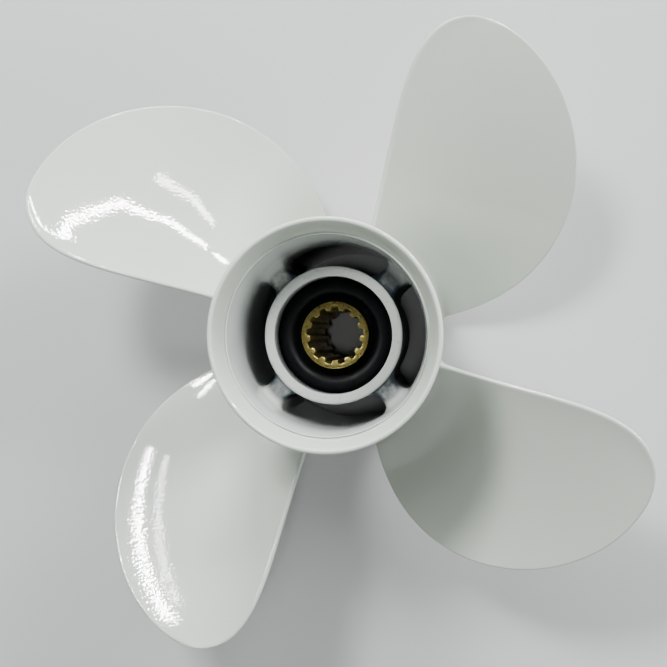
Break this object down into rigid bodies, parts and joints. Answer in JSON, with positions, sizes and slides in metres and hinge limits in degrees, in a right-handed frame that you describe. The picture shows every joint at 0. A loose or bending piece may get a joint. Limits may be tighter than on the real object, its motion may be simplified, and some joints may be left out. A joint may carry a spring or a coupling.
{
  "type": "outboard motor propeller",
  "caption": "Cast aluminium outboard propeller with raked, cupped blades, an exhaust passage through its ribbed hub, a rubber cushion bush and a splined brass sleeve.",
  "frame": {"origin": "centre of the barrel's front rim, on which the propeller stands", "axes": "+Z along the shaft towards the aft end; seen from aft with +X to the right and +Y up, the exhaust passages lie on X and Y and the ribs between them"},
  "size_m": [0.2584, 0.2584, 0.127],
  "materials": {
    "white_paint": "white gloss paint with a light orange peel",
    "sprayed_casting": "cast surface, dark where the white spray did not reach",
    "black_rubber": "matt moulded rubber",
    "cast_brass": "speckled, oiled, slightly tarnished"
  },
  "bodies": {
    "root": {"outer_barrel": "white_paint", "inner_hub": "sprayed_casting", "rib_1": "sprayed_casting", "rib_2": "sprayed_casting", "rib_3": "sprayed_casting", "rib_4": "sprayed_casting", "blade_1": "white_paint", "blade_2": "white_paint", "blade_3": "white_paint", "blade_4": "white_paint", "rubber_bush": "black_rubber", "spline_sleeve": "cast_brass"}
  },
  "joints": []
}
